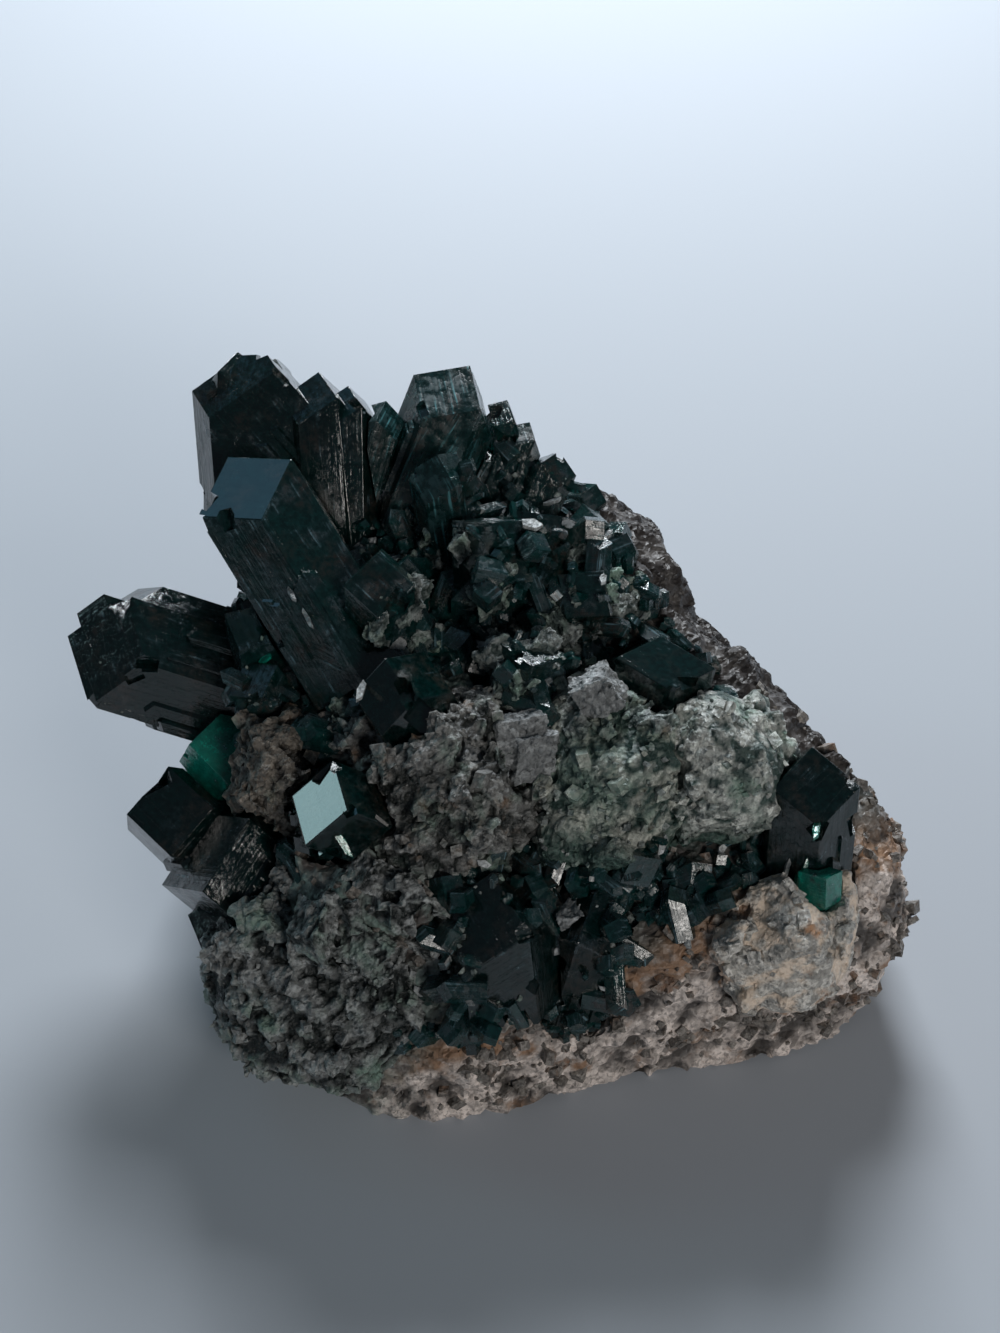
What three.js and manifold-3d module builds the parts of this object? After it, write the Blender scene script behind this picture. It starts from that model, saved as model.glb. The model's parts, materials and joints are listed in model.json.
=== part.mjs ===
// A dioptase specimen: dark green dioptase crystals and pale calcite crusts on a broken block of host rock.
// Millimetres, +Z up. The block rests on its broken base at z = 0, and its crystal-covered slope faces -Y.
import * as THREE from "three";
import { ConvexGeometry } from "three/addons/geometries/ConvexGeometry.js";
import { mergeVertices } from "three/addons/utils/BufferGeometryUtils.js";
import Module from "manifold-3d";

const wasm = await Module();
wasm.setup();
const vec = (x, y, z) => new THREE.Vector3(x, y, z);

// ---- Driving sizes, in millimetres ----
const SEAT_GAP = 0.3; // clearance that every crystal and crust keeps from what it sits in
const SLOPE_ANGLE = THREE.MathUtils.degToRad(45); // of the crystal-covered slope, from the level
const SLOPE_ORIGIN = vec(1.1, 7.5, 12); // inside the rock, where positions on the slope are measured from

const ROCK_HEART = vec(1, -1, 11); // the point that the host rock is shaped around
const ROCK_DETAIL = 8;
const EDGE_SHARPNESS = 50; // higher leaves crisper edges between the broken faces
const ROCK_LUMP = { height: 0.8, spacing: 7 };
const ROCK_GRAIN = { height: 0.5, spacing: 3.1 };
const ROCK_CHIPS = { count: 40, shallowest: 0.4, deepest: 2.6 };
const BASE_PIT = { depth: 3, spacing: 9, sparseness: 0.3 };

const CRUST_FACES = 26; // flat facets of each calcite crust
const CHUNK_LUMP = { height: 0.9, spacing: 2.8 };

const DRUSE = { count: 42, smallest: 1.3, largest: 2.6, proud: 1.6, buried: 2.5 };

// Dioptase grows as six-sided prisms. Three end faces, each leaning over a prism edge, close the tip.
const TIP_FACE_TILT = THREE.MathUtils.degToRad(51); // between the prism's axis and an end face's normal
// The three edges that meet at a corner of a calcite rhomb lean this far from the rhomb's long axis.
const RHOMB_EDGE_LEAN = THREE.MathUtils.degToRad(63.7);

const CENTRING = vec(-0.2, 1.6, 0); // brings the middle of the finished part over the origin

// ---- Colours ----
const ROCK_COLOUR = 0x9a8a80;
const CALCITE_COLOUR = 0x9b9a8e;
const DIOPTASE_COLOUR = 0x0c3a34;

// The broken faces of the host rock: a point that each passes through, and the way it faces.
const BROKEN_FACES = [
  { part: "front right", through: [12, -18.2, 4], facing: [0.2, -0.96, 0.1] },
  { part: "front left", through: [-13, -19.9, 4], facing: [-0.5, -0.85, 0.12] },
  { part: "right end", through: [28.2, -10, 6], facing: [0.97, 0.05, -0.2] },
  { part: "right back", through: [24.6, 7.2, 8], facing: [0.8, 0.58, 0] },
  { part: "back slope", through: [16.6, -2, 20.6], facing: [0.66, 0.42, 0.62] },
  { part: "lower slope", through: [-1, -18, 13], facing: [0.06, -0.76, 0.65] },
  { part: "upper slope", through: [1, -5, 23.7], facing: [0.1, -0.5, 0.86] },
  { part: "summit", through: [-3, 5.5, 27.6], facing: [-0.1, 0.1, 1] },
  { part: "left slope", through: [-11.5, 3, 23.4], facing: [-0.7, -0.35, 0.65] },
  { part: "left end", through: [-17.3, -4, 10], facing: [-0.96, -0.2, -0.1] },
  { part: "back left", through: [-11, 12.8, 12], facing: [-0.55, 0.8, 0.16] },
  { part: "back", through: [2, 18.4, 10], facing: [0.08, 0.99, 0.12] },
  { part: "right shoulder", through: [24, -10, 13.8], facing: [0.12, -0.35, 0.92] },
  { part: "base", through: [0, 0, -1.6], facing: [0, 0, -1] },
];

// On the slope, positions and directions are given as across (+X), uphill, and outwards from the slope.

// A brown knob of the rock that stands up behind the ridge, by centre and half-sizes.
const KNOB = { centre: [4.6, 4.2, -1.8], radii: [8.8, 8.8, 8.8], faces: 11 };

// The large crystals. tip is where the three end faces would meet, and leans is the way that the first of
// them looks. length runs from the tip down to the foot, in the rock, and width is across the prism's flats.
// flats moves single prism faces outwards. A cut is a broken face, and beyond is its distance from the tip.
const CRYSTALS = [
  { node: "crystals_crown", tip: [-16, 21.5, 9], grows: [-0.05, 0.97, 0.2], leans: [1, 0, 0],
    length: 17, width: 8.2, flats: [0, -1.7, 0, 0, -1.7, 0],
    cuts: [{ facing: [0, 1, 0.1], beyond: -0.8 }, { facing: [-0.75, -0.66, 0], beyond: 9.5 }] },
  { node: "crystals_crown", tip: [-12, 19.5, 9.5], grows: [-0.05, 0.97, 0.2], leans: [1, 0, 0], length: 14,
    width: 4.6 },
  { node: "crystals_crown", tip: [-10, 18.5, 10], grows: [0, 0.97, 0.25], leans: [1, 0, 0], length: 12,
    width: 3.4 },
  { node: "crystals_crown", tip: [-17.5, 21, 8.5], grows: [0.05, 0.97, 0.2], leans: [-1, 0, 0],
    length: 11, width: 3.6 },
  { node: "crystal_window", tip: [-17.5, 13.5, 13], grows: [-0.52, 0.85, 0.04], leans: [-0.31, 0.51, 0.8],
    length: 17, width: 7 },
  { node: "crystals_summit", tip: [-2, 20, 9], grows: [0.38, 0.88, 0.28], leans: [1, 0, 0], length: 16,
    width: 5.6 },
  { node: "crystals_summit", tip: [-7.5, 17.5, 10], grows: [0.3, 0.9, 0.3], leans: [-1, 0, 0.4], length: 12,
    width: 3 },
  { node: "crystals_summit", tip: [-4, 13.5, 14], grows: [-0.1, 0.7, 0.7], leans: [1, 0, 0], length: 8,
    width: 3.6 },
  { node: "crystals_left_wing", tip: [-28.5, 2, 10], grows: [-0.93, 0.3, 0.2], leans: [0, 0, 1], length: 15,
    width: 7.6 },
  { node: "crystals_left_wing", tip: [-28, 3.5, 9.5], grows: [-0.93, 0.3, 0.2], leans: [0, 0, 1],
    length: 13, width: 3.6 },
  { node: "crystals_left_wing", tip: [-26, 4, 9], grows: [-0.93, 0.3, 0.2], leans: [0, 1, 0.3], length: 12,
    width: 4.2 },
  { node: "crystals_left_shoulder", tip: [-16.5, 1, 14.5], grows: [-0.35, -0.1, 0.93], leans: [0.3, 0.9, 0],
    length: 8, width: 5.2 },
  { node: "crystals_left_shoulder", tip: [-15, -2, 15.5], grows: [0.1, -0.2, 0.97], leans: [-0.5, 0.8, 0],
    length: 7, width: 3.6 },
  { node: "crystal_emerald", tip: [-20, -5, 13], grows: [-0.6, 0.3, 0.74], leans: [0.8, 0.3, 0.5],
    length: 10, width: 5.4 },
  { node: "crystals_front_left", tip: [-24, -9.5, 13], grows: [-0.75, 0.15, 0.65], leans: [0.6, 0.3, 0.74],
    length: 11, width: 6 },
  { node: "crystals_front_left", tip: [-18.5, -14, 17], grows: [-0.35, -0.1, 0.93], leans: [-0.6, 0.8, 0],
    length: 11, width: 8 },
  { node: "crystals_front_left", tip: [-18.5, -19, 14.5], grows: [-0.5, -0.45, 0.74], leans: [0, 1, 0.3],
    length: 10, width: 6 },
  { node: "crystal_mirror", tip: [-9, -8.5, 22.5], grows: [0.2, 0.1, 0.97], leans: [-0.95, 0.3, 0], length: 8,
    width: 5.4 },
  { node: "crystal_dark_centre", tip: [-7, 0.5, 19.5], grows: [-0.35, 0.75, 0.5], leans: [-0.6, -0.2, 0.7],
    length: 8, width: 5.2 },
  { node: "crystal_green_centre", tip: [2, 0, 18.5], grows: [0.1, 0.1, 0.99], leans: [0.2, 1, 0],
    length: 6, width: 4.4 },
  { node: "crystal_ridge", tip: [10.5, -1.5, 18.5], grows: [0.12, 0.05, 0.99], leans: [-0.9, -0.4, 0],
    length: 9, width: 6.4 },
  { node: "crystal_right_end", tip: [19.5, -5, 16.5], grows: [0.02, 0.92, 0.38], leans: [0.1, 0, 1],
    length: 12, width: 5.6 },
  { node: "crystal_small_emerald", tip: [20, -13, 18.5], grows: [0.1, 0.4, 0.9], leans: [0, 1, 0],
    length: 5, width: 2.8 },
  { node: "crystals_front_centre", tip: [-0.5, -12.5, 19.5], grows: [-0.1, 0.9, 0.42], leans: [1, 0, 0],
    length: 9, width: 6.8 },
  { node: "crystals_front_right", tip: [6, -13.5, 18.5], grows: [0.2, 0.8, 0.57], leans: [-1, 0, 0.3],
    length: 10, width: 5.6 },
  { node: "crystals_upper_right", tip: [-0.5, 9, 16], grows: [-0.1, 0.5, 0.86], leans: [0, 1, 0], length: 8,
    width: 5.8 },
  { node: "crystals_upper_right", tip: [4, 9.5, 14.5], grows: [0.3, 0.6, 0.74], leans: [0.2, 1, 0],
    length: 9, width: 5.4 },
  { node: "crystals_upper_right", tip: [6.5, 6, 15], grows: [0.35, 0.45, 0.8], leans: [-0.3, 1, 0],
    length: 7, width: 4.2 },
  { node: "crystals_upper_left", tip: [-7.5, 7, 17.5], grows: [0, 0.75, 0.66], leans: [0, 0, 1], length: 8,
    width: 4.4 },
  { node: "crystals_upper_left", tip: [-10.5, 13, 14], grows: [0.12, 0.92, 0.37], leans: [1, 0, 0],
    length: 10, width: 3.8 },
  { node: "crystals_upper_left", tip: [-8.5, 11.5, 14.5], grows: [0.3, 0.85, 0.42], leans: [-1, 0, 0.2],
    length: 9, width: 3 },
  { node: "crystals_back_ridge", tip: [0.5, 18, 7], grows: [0.3, 0.92, 0.2], leans: [1, 0, 0], length: 10,
    width: 3 },
  { node: "crystals_back_ridge", tip: [2, 16.5, 7], grows: [0.35, 0.9, 0.2], leans: [1, 0, 0], length: 9,
    width: 2.6 },
  { node: "crystals_back_ridge", tip: [4, 14.5, 7.5], grows: [0.4, 0.88, 0.2], leans: [-1, 0, 0], length: 8,
    width: 3 },
];

// Calcite rhombs, by centre and edge lengths. stands is the way that the rhomb's long axis points.
const RHOMBS = [
  { node: "calcite_rhomb", centre: [6, -1.5, 18], stands: [0.2, 0.5, 0.85], turn: 20,
    edges: [2.6, 2.4, 2.2] },
  { node: "calcite_plates", centre: [1, -4.5, 18.5], stands: [-0.3, 0.3, 0.9], turn: 75,
    edges: [3.2, 3.2, 1.2] },
  { node: "calcite_plates", centre: [2, -5.5, 18.5], stands: [-0.3, 0.3, 0.9], turn: 75,
    edges: [3, 2.6, 1.2] },
  { node: "calcite_block", centre: [-2, -5.5, 19], stands: [0.1, 0.2, 0.97], turn: 50,
    edges: [2, 1.9, 1.8] },
  { node: "calcite_chip", centre: [5, -15.5, 18.5], stands: [0.3, 0.3, 0.9], turn: 10,
    edges: [2.2, 2, 1.8] },
];

// Calcite crusts: lumpy cushions, by centre and half-sizes across, uphill and outwards.
const CRUSTS = [
  { node: "calcite_crust_front_left", centre: [-11, -19, 13.5], radii: [8.4, 7.8, 5] },
  { node: "calcite_crust_centre", centre: [-3, -7.5, 16], radii: [6.8, 6.4, 4.6] },
  { node: "calcite_crust_green", centre: [6.5, -7, 15.5], radii: [5, 6.4, 4.4] },
  { node: "calcite_crust_right", centre: [13.5, -6.5, 14.5], radii: [5.6, 5.2, 4.6] },
  { node: "calcite_crust_cream", centre: [17, -17, 14.5], radii: [6.2, 4.4, 4.6] },
  { node: "calcite_crust_left", centre: [-14, -7, 14.5], radii: [3, 3.8, 3.6] },
];

// ---- Noise and chance ----
function latticeValue(i, j, k, seed) {
  const s = Math.sin(i * 127.1 + j * 311.7 + k * 74.7 + seed * 53.3) * 43758.5453;
  return s - Math.floor(s);
}

// Smooth noise from -1 to 1 whose features are one spacing apart.
function smoothNoise(point, spacing, seed) {
  const [x, y, z] = [point.x / spacing, point.y / spacing, point.z / spacing];
  const [i, j, k] = [Math.floor(x), Math.floor(y), Math.floor(z)];
  const ease = (t) => t * t * (3 - 2 * t);
  const [u, v, w] = [ease(x - i), ease(y - j), ease(z - k)];
  let sum = 0;
  for (const di of [0, 1])
    for (const dj of [0, 1])
      for (const dk of [0, 1]) {
        const share = (di ? u : 1 - u) * (dj ? v : 1 - v) * (dk ? w : 1 - w);
        sum += share * latticeValue(i + di, j + dj, k + dk, seed);
      }
  return 2 * sum - 1;
}

const chance = (index, seed) => latticeValue(index, 7 * index + 3, index % 13, seed);
const between = (low, high, share) => low + (high - low) * share;

// ---- Frames ----
const UPHILL = vec(0, Math.cos(SLOPE_ANGLE), Math.sin(SLOPE_ANGLE));
const OUTWARDS = vec(0, -Math.sin(SLOPE_ANGLE), Math.cos(SLOPE_ANGLE));
function slopeDirection([across, uphill, outwards]) {
  return vec(across, 0, 0).addScaledVector(UPHILL, uphill).addScaledVector(OUTWARDS, outwards);
}
const slopePoint = (place) => slopeDirection(place).add(SLOPE_ORIGIN);

// Two directions square to an axis, the first of them as near as it can be to a hint.
function squareTo(axis, hint) {
  const first = hint.clone().addScaledVector(axis, -hint.dot(axis)).normalize();
  return [first, vec(0, 0, 0).crossVectors(axis, first)];
}

// ---- Solids ----
function solidOf(geometry) {
  const bare = geometry.index ? geometry.toNonIndexed() : geometry.clone();
  bare.deleteAttribute("normal");
  bare.deleteAttribute("uv");
  const merged = mergeVertices(bare, 1e-4);
  return new wasm.Manifold(
    new wasm.Mesh({
      numProp: 3,
      vertProperties: new Float32Array(merged.attributes.position.array),
      triVerts: new Uint32Array(merged.index.array),
    }),
  );
}

function geometryOf(solid) {
  const mesh = solid.getMesh();
  const geometry = new THREE.BufferGeometry();
  geometry.setAttribute("position", new THREE.BufferAttribute(new Float32Array(mesh.vertProperties), 3));
  geometry.setIndex(new THREE.BufferAttribute(new Uint32Array(mesh.triVerts), 1));
  geometry.translate(...CENTRING.toArray());
  geometry.computeVertexNormals();
  return geometry;
}

function largestBody(solid) {
  return solid.decompose().reduce((best, body) => (body.volume() > best.volume() ? body : best));
}

// The corners of the convex solid inside a set of planes, each a unit normal and its reach from the origin.
function cornersInside(planes) {
  const corners = [];
  const inside = (p) => planes.every(({ normal, reach }) => normal.dot(p) <= reach + 1e-6);
  const solve = new THREE.Matrix3();
  for (let a = 0; a < planes.length; a++)
    for (let b = a + 1; b < planes.length; b++)
      for (let c = b + 1; c < planes.length; c++) {
        const [p, q, r] = [planes[a], planes[b], planes[c]];
        solve.set(...p.normal.toArray(), ...q.normal.toArray(), ...r.normal.toArray());
        if (Math.abs(solve.determinant()) < 1e-6) continue;
        const corner = vec(p.reach, q.reach, r.reach).applyMatrix3(solve.invert());
        if (!inside(corner) || corners.some((other) => other.distanceTo(corner) < 1e-3)) continue;
        corners.push(corner);
      }
  return corners;
}
const solidInside = (planes) => solidOf(new ConvexGeometry(cornersInside(planes)));

const grownPlanes = (planes, gap) => planes.map(({ normal, reach }) => ({ normal, reach: reach + gap }));
const planeAt = (normal, point, offset) => ({ normal, reach: normal.dot(point) + offset });

// An icosphere whose corners are moved out along their directions to the reach given for each.
function starSolid(detail, middle, reachAlong, settle = (skin) => skin) {
  const geometry = new THREE.IcosahedronGeometry(1, detail);
  const position = geometry.attributes.position;
  const direction = vec(0, 0, 0);
  for (let i = 0; i < position.count; i++) {
    direction.fromBufferAttribute(position, i).normalize();
    const skin = settle(direction.clone().multiplyScalar(reachAlong(direction)).add(middle));
    position.setXYZ(i, skin.x, skin.y, skin.z);
  }
  return solidOf(geometry);
}

// ---- Dioptase and calcite crystals ----
function crystalPlanes({ tip, axis, lean, length, width, flats = [0, 0, 0, 0, 0, 0], cuts = [] }) {
  const [first, second] = squareTo(axis, lean);
  const outwardsAt = (degrees) => {
    const turn = THREE.MathUtils.degToRad(degrees);
    return first.clone().multiplyScalar(Math.cos(turn)).addScaledVector(second, Math.sin(turn));
  };
  const planes = [planeAt(axis.clone().negate(), tip, length)];
  flats.forEach((shift, i) => planes.push(planeAt(outwardsAt(30 + 60 * i), tip, width / 2 + shift)));
  for (const degrees of [0, 120, 240]) {
    const normal = axis.clone().multiplyScalar(Math.cos(TIP_FACE_TILT));
    normal.addScaledVector(outwardsAt(degrees), Math.sin(TIP_FACE_TILT));
    planes.push(planeAt(normal, tip, 0));
  }
  for (const { facing, beyond } of cuts) {
    planes.push(planeAt(slopeDirection(facing).normalize(), tip, beyond));
  }
  return planes;
}

function slopeCrystalPlanes(crystal) {
  const axis = slopeDirection(crystal.grows).normalize();
  const lean = slopeDirection(crystal.leans);
  return crystalPlanes({ ...crystal, tip: slopePoint(crystal.tip), axis, lean });
}

function rhombPlanes({ centre, stands, turn, edges }) {
  const middle = slopePoint(centre);
  const axis = slopeDirection(stands).normalize();
  const [first, second] = squareTo(axis, vec(1, 0, 0));
  const [along, outwards] = [Math.cos(RHOMB_EDGE_LEAN), Math.sin(RHOMB_EDGE_LEAN)];
  const sides = [0, 120, 240].map((degrees) => {
    const angle = THREE.MathUtils.degToRad(degrees + turn);
    const flat = first.clone().multiplyScalar(Math.cos(angle)).addScaledVector(second, Math.sin(angle));
    return axis.clone().multiplyScalar(along).addScaledVector(flat, outwards);
  });
  return sides.flatMap((side, i) => {
    const normal = vec(0, 0, 0).crossVectors(sides[(i + 1) % 3], sides[(i + 2) % 3]).normalize();
    const half = (edges[i] / 2) * normal.dot(side);
    return [planeAt(normal, middle, half), planeAt(normal.clone().negate(), middle, half)];
  });
}

// ---- Host rock ----
// Chips are small extra faces that take a little off the corners and edges between the main ones.
const mainFaces = BROKEN_FACES.map(({ through, facing }) => {
  const normal = vec(...facing).normalize();
  return { normal, reach: vec(...through).sub(ROCK_HEART).dot(normal) };
});
const mainCorners = cornersInside(mainFaces);
const chips = Array.from({ length: ROCK_CHIPS.count }, (_, i) => {
  const turn = 2 * Math.PI * chance(i, 22);
  const normal = vec(Math.cos(turn), Math.sin(turn), between(-0.35, 1, chance(i, 21))).normalize();
  const farthest = Math.max(...mainCorners.map((corner) => corner.dot(normal)));
  return { normal, reach: farthest - between(ROCK_CHIPS.shallowest, ROCK_CHIPS.deepest, chance(i, 23)) };
});
const rockFaces = [...mainFaces, ...chips];

// Distance from the heart of the rock to one face along a direction. The face can be moved outwards.
function reachTo({ normal, reach }, direction, grown) {
  const facing = normal.dot(direction);
  return facing > 0.02 ? (reach + grown) / facing : Infinity;
}

// The nearest of the faces along a direction, with the edges between them slightly rounded.
function nearestReach(faces, direction, grown) {
  const sum = faces.reduce((s, face) => s + reachTo(face, direction, grown) ** -EDGE_SHARPNESS, 0);
  return sum ** (-1 / EDGE_SHARPNESS);
}

function rockReach(direction, grown) {
  const smooth = nearestReach(rockFaces, direction, grown);
  const skin = direction.clone().multiplyScalar(smooth).add(ROCK_HEART);
  const lumps = ROCK_LUMP.height * smoothNoise(skin, ROCK_LUMP.spacing, 1);
  return smooth + lumps + ROCK_GRAIN.height * smoothNoise(skin, ROCK_GRAIN.spacing, 2);
}

// The base is flat where it stands and pitted between, and nothing reaches below it.
function rockSolid(grown) {
  const settle = (skin) => {
    const pit = BASE_PIT.depth * Math.max(0, smoothNoise(skin, BASE_PIT.spacing, 3) - BASE_PIT.sparseness);
    skin.z = Math.max(skin.z, grown > 0 ? -grown : pit);
    return skin;
  };
  const body = starSolid(ROCK_DETAIL, ROCK_HEART, (direction) => rockReach(direction, grown), settle);
  return body.add(chunk(KNOB, grown, 5));
}

// A lumpy chunk with flat facets, for the knob and the calcite crusts. It can be grown outwards evenly.
function chunk({ centre, radii, faces = CRUST_FACES }, grown, seed) {
  const middle = slopePoint(centre);
  const facets = Array.from({ length: faces }, (_, i) => {
    const height = between(-1, 1, (i + 0.5) / faces);
    const turn = i * 2.4 + chance(i, seed);
    const flat = Math.sqrt(1 - height * height);
    const parts = [flat * Math.cos(turn), flat * Math.sin(turn), height];
    const reach = Math.hypot(parts[0] * radii[0], parts[1] * radii[1], parts[2] * radii[2]);
    return { normal: slopeDirection(parts), reach: reach * between(0.84, 1, chance(i, seed + 50)) };
  });
  return starSolid(Math.max(...radii) > 6 ? 4 : 3, middle, (direction) => {
    const smooth = nearestReach(facets, direction, grown);
    const skin = direction.clone().multiplyScalar(smooth).add(middle);
    return smooth + CHUNK_LUMP.height * smoothNoise(skin, CHUNK_LUMP.spacing, seed);
  });
}

// ---- Druse: small crystals that cover the rest of the slope ----
// The broken front of the rock, low and to the right, is bare.
function drusePlaces(taken) {
  const places = [];
  for (let i = 0; places.length < DRUSE.count && i < 4000; i++) {
    const direction = slopeDirection([
      between(-1.1, 1.1, chance(i, 31)),
      between(-1.1, 1.1, chance(i, 32)),
      between(0.1, 1, chance(i, 33)),
    ]).normalize();
    const skin = direction.clone().multiplyScalar(rockReach(direction, 0)).add(ROCK_HEART);
    const from = skin.clone().sub(SLOPE_ORIGIN);
    const bareBelow = 0.45 * from.x - 20;
    if (from.dot(UPHILL) < bareBelow || from.dot(OUTWARDS) < 3 || skin.z < 6) continue;
    if (places.some((place) => place.skin.distanceTo(skin) < 2)) continue;
    if (taken.some((planes) => planes.every(({ normal, reach }) => normal.dot(skin) < reach + 1))) continue;
    places.push({ skin, direction, index: i });
  }
  return places;
}

function drusePlanes({ skin, direction, index }) {
  const wobble = vec(chance(index, 41) - 0.5, chance(index, 42) - 0.5, chance(index, 43) - 0.5);
  const axis = direction.clone().add(wobble).normalize();
  const tip = skin.clone().addScaledVector(axis, DRUSE.proud * between(0.5, 1, chance(index, 44)));
  const lean = vec(chance(index, 45) - 0.5, chance(index, 46) - 0.5, 0.3);
  const width = between(DRUSE.smallest, DRUSE.largest, chance(index, 47));
  return crystalPlanes({ tip, axis, lean, length: DRUSE.proud + DRUSE.buried, width });
}

// ---- Assembly ----
const group = new THREE.Group();
function addNode(name, solid, colour, roughness) {
  const material = new THREE.MeshStandardMaterial({ color: colour, roughness, metalness: 0 });
  const mesh = new THREE.Mesh(geometryOf(solid), material);
  mesh.name = name;
  group.add(mesh);
}

// Crystals that share a node have grown together. A later node gives way to the ones before it.
const pieces = new Map();
const sockets = [];
const grown = [];
function grow(node, planes, colour) {
  grown.push(planes);
  const piece = pieces.get(node) ?? { solid: null, colour };
  const solid = solidInside(planes);
  piece.solid = piece.solid ? piece.solid.add(solid) : solid;
  pieces.set(node, piece);
  sockets.push({ node, solid: solidInside(grownPlanes(planes, SEAT_GAP)) });
}
for (const crystal of CRYSTALS) grow(crystal.node, slopeCrystalPlanes(crystal), DIOPTASE_COLOUR);
for (const rhomb of RHOMBS) grow(rhomb.node, rhombPlanes(rhomb), CALCITE_COLOUR);

const settled = new Set();
for (const [node, { solid, colour }] of pieces) {
  const earlier = sockets.filter((socket) => settled.has(socket.node));
  const cut = earlier.reduce((rest, socket) => rest.subtract(socket.solid), solid);
  addNode(node, largestBody(cut), colour, 0.2);
  settled.add(node);
}

const ground = solidOf(new THREE.BoxGeometry(100, 100, 20).translate(0, 0, -10));
const allSockets = sockets.reduce((all, socket) => (all ? all.add(socket.solid) : socket.solid), null);
const roomForRock = rockSolid(SEAT_GAP);
let roomForCrusts = null;
CRUSTS.forEach((crust, i) => {
  let solid = chunk(crust, 0, 10 + i).subtract(roomForRock).subtract(allSockets).subtract(ground);
  if (roomForCrusts) solid = solid.subtract(roomForCrusts);
  addNode(crust.node, largestBody(solid), CALCITE_COLOUR, 0.8);
  const room = chunk(crust, SEAT_GAP, 10 + i);
  roomForCrusts = roomForCrusts ? roomForCrusts.add(room) : room;
});

const druse = drusePlaces(grown).map((place) => solidInside(drusePlanes(place)));
const druseOnRock = druse.reduce((all, crystal) => all.add(crystal)).subtract(roomForCrusts);
const rock = rockSolid(0).add(druseOnRock).subtract(allSockets).subtract(ground);
addNode("matrix", largestBody(rock), ROCK_COLOUR, 0.9);

export default group;
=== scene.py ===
"""Dresses a dioptase specimen: dark green crystals and pale calcite crusts on a broken block of host rock."""

import json
import math
import random

import bpy
import numpy as np
from bpy.props import FloatProperty, FloatVectorProperty, IntProperty, PointerProperty
from mathutils import Matrix, Quaternion, Vector, noise
from mathutils.bvhtree import BVHTree

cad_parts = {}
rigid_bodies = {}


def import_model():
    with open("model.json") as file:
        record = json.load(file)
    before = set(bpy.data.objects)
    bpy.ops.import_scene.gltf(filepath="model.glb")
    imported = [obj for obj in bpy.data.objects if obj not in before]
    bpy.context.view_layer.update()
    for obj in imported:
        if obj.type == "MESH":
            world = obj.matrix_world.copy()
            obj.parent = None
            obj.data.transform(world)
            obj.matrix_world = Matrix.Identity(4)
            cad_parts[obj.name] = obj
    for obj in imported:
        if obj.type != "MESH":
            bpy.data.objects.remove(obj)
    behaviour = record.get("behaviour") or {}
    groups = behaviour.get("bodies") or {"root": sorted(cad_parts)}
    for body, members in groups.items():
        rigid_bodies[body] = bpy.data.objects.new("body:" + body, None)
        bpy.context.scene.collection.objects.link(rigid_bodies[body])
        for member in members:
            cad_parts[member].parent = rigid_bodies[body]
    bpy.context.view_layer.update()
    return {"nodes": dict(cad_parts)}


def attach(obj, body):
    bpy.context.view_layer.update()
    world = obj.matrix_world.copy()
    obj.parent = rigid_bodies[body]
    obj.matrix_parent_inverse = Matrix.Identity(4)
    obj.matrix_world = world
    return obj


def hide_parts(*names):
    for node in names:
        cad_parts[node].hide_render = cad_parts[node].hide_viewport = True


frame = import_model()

bl_info = {
    "name": "Dioptase specimen",
    "version": (1, 0, 0),
    "blender": (4, 5, 0),
    "location": "View3D > Sidebar > Specimen",
    "description": "Dresses the solids of a dioptase specimen with rough rock, crusts and crystals",
    "category": "Object",
}

MM = 0.001
BODY = "root"

# The crystal-covered slope: its middle, and the directions across it, up it and out of it.
SLOPE_MIDDLE = Vector((0.9, 9.1, 12.0)) * MM
SLOPE_ANGLE = math.radians(45)
ACROSS = Vector((1, 0, 0))
UPHILL = Vector((0, math.cos(SLOPE_ANGLE), math.sin(SLOPE_ANGLE)))
OUTWARDS = Vector((0, -math.sin(SLOPE_ANGLE), math.cos(SLOPE_ANGLE)))

# Crystals cover the slope between two straight lines: where each lies uphill at the middle, in mm,
# and how much the lower one rises and the upper one falls for each millimetre to the right.
EDGE_FOOT, EDGE_RISE = -21, 0.45
RIDGE, RIDGE_FALL = 19, 1.37
LIFT = 0.02 * MM  # how far off a surface a ray starts

TIP_FACE_TILT = math.radians(51)  # between a dioptase prism's axis and the normal of an end face
RHOMB_SQUASH = 0.7  # a cube squashed to this along a body diagonal is a calcite rhomb

CRYSTAL_NODES = sorted(n for n in frame["nodes"] if n.startswith("crystal"))
CRUST_NODES = sorted(n for n in frame["nodes"] if n.startswith("calcite_crust"))
BLOCK_NODES = sorted(n for n in frame["nodes"] if n.startswith("calcite") and n not in CRUST_NODES)


# ---- Sizes and colours that a user would change ----
def length_property(name, description, default_mm):
    return FloatProperty(
        name=name, description=description, default=default_mm * MM, min=0, precision=5, unit="LENGTH"
    )


def colour_property(name, description, default):
    return FloatVectorProperty(
        name=name, description=description, default=default, size=3, min=0, max=1, subtype="COLOR"
    )


class RockSettings(bpy.types.PropertyGroup):
    voxel: length_property("Voxel", "Grid that the rock's skin is rebuilt on", 0.31)
    lump: length_property("Lumps", "Height of the broken lumps", 0.9)
    grain: length_property("Grain", "Height of the fine grain", 0.3)
    growth: length_property("Growth", "How far the skin closes up against the crystals", 0.3)
    pale: colour_property("Pale", "Fresh granular rock", (1.0, 0.88, 0.8))
    brown: colour_property("Brown", "Weathered rock at the back", (0.034, 0.026, 0.022))
    rust: colour_property("Rust", "Iron stain", (0.3, 0.18, 0.11))


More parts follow.
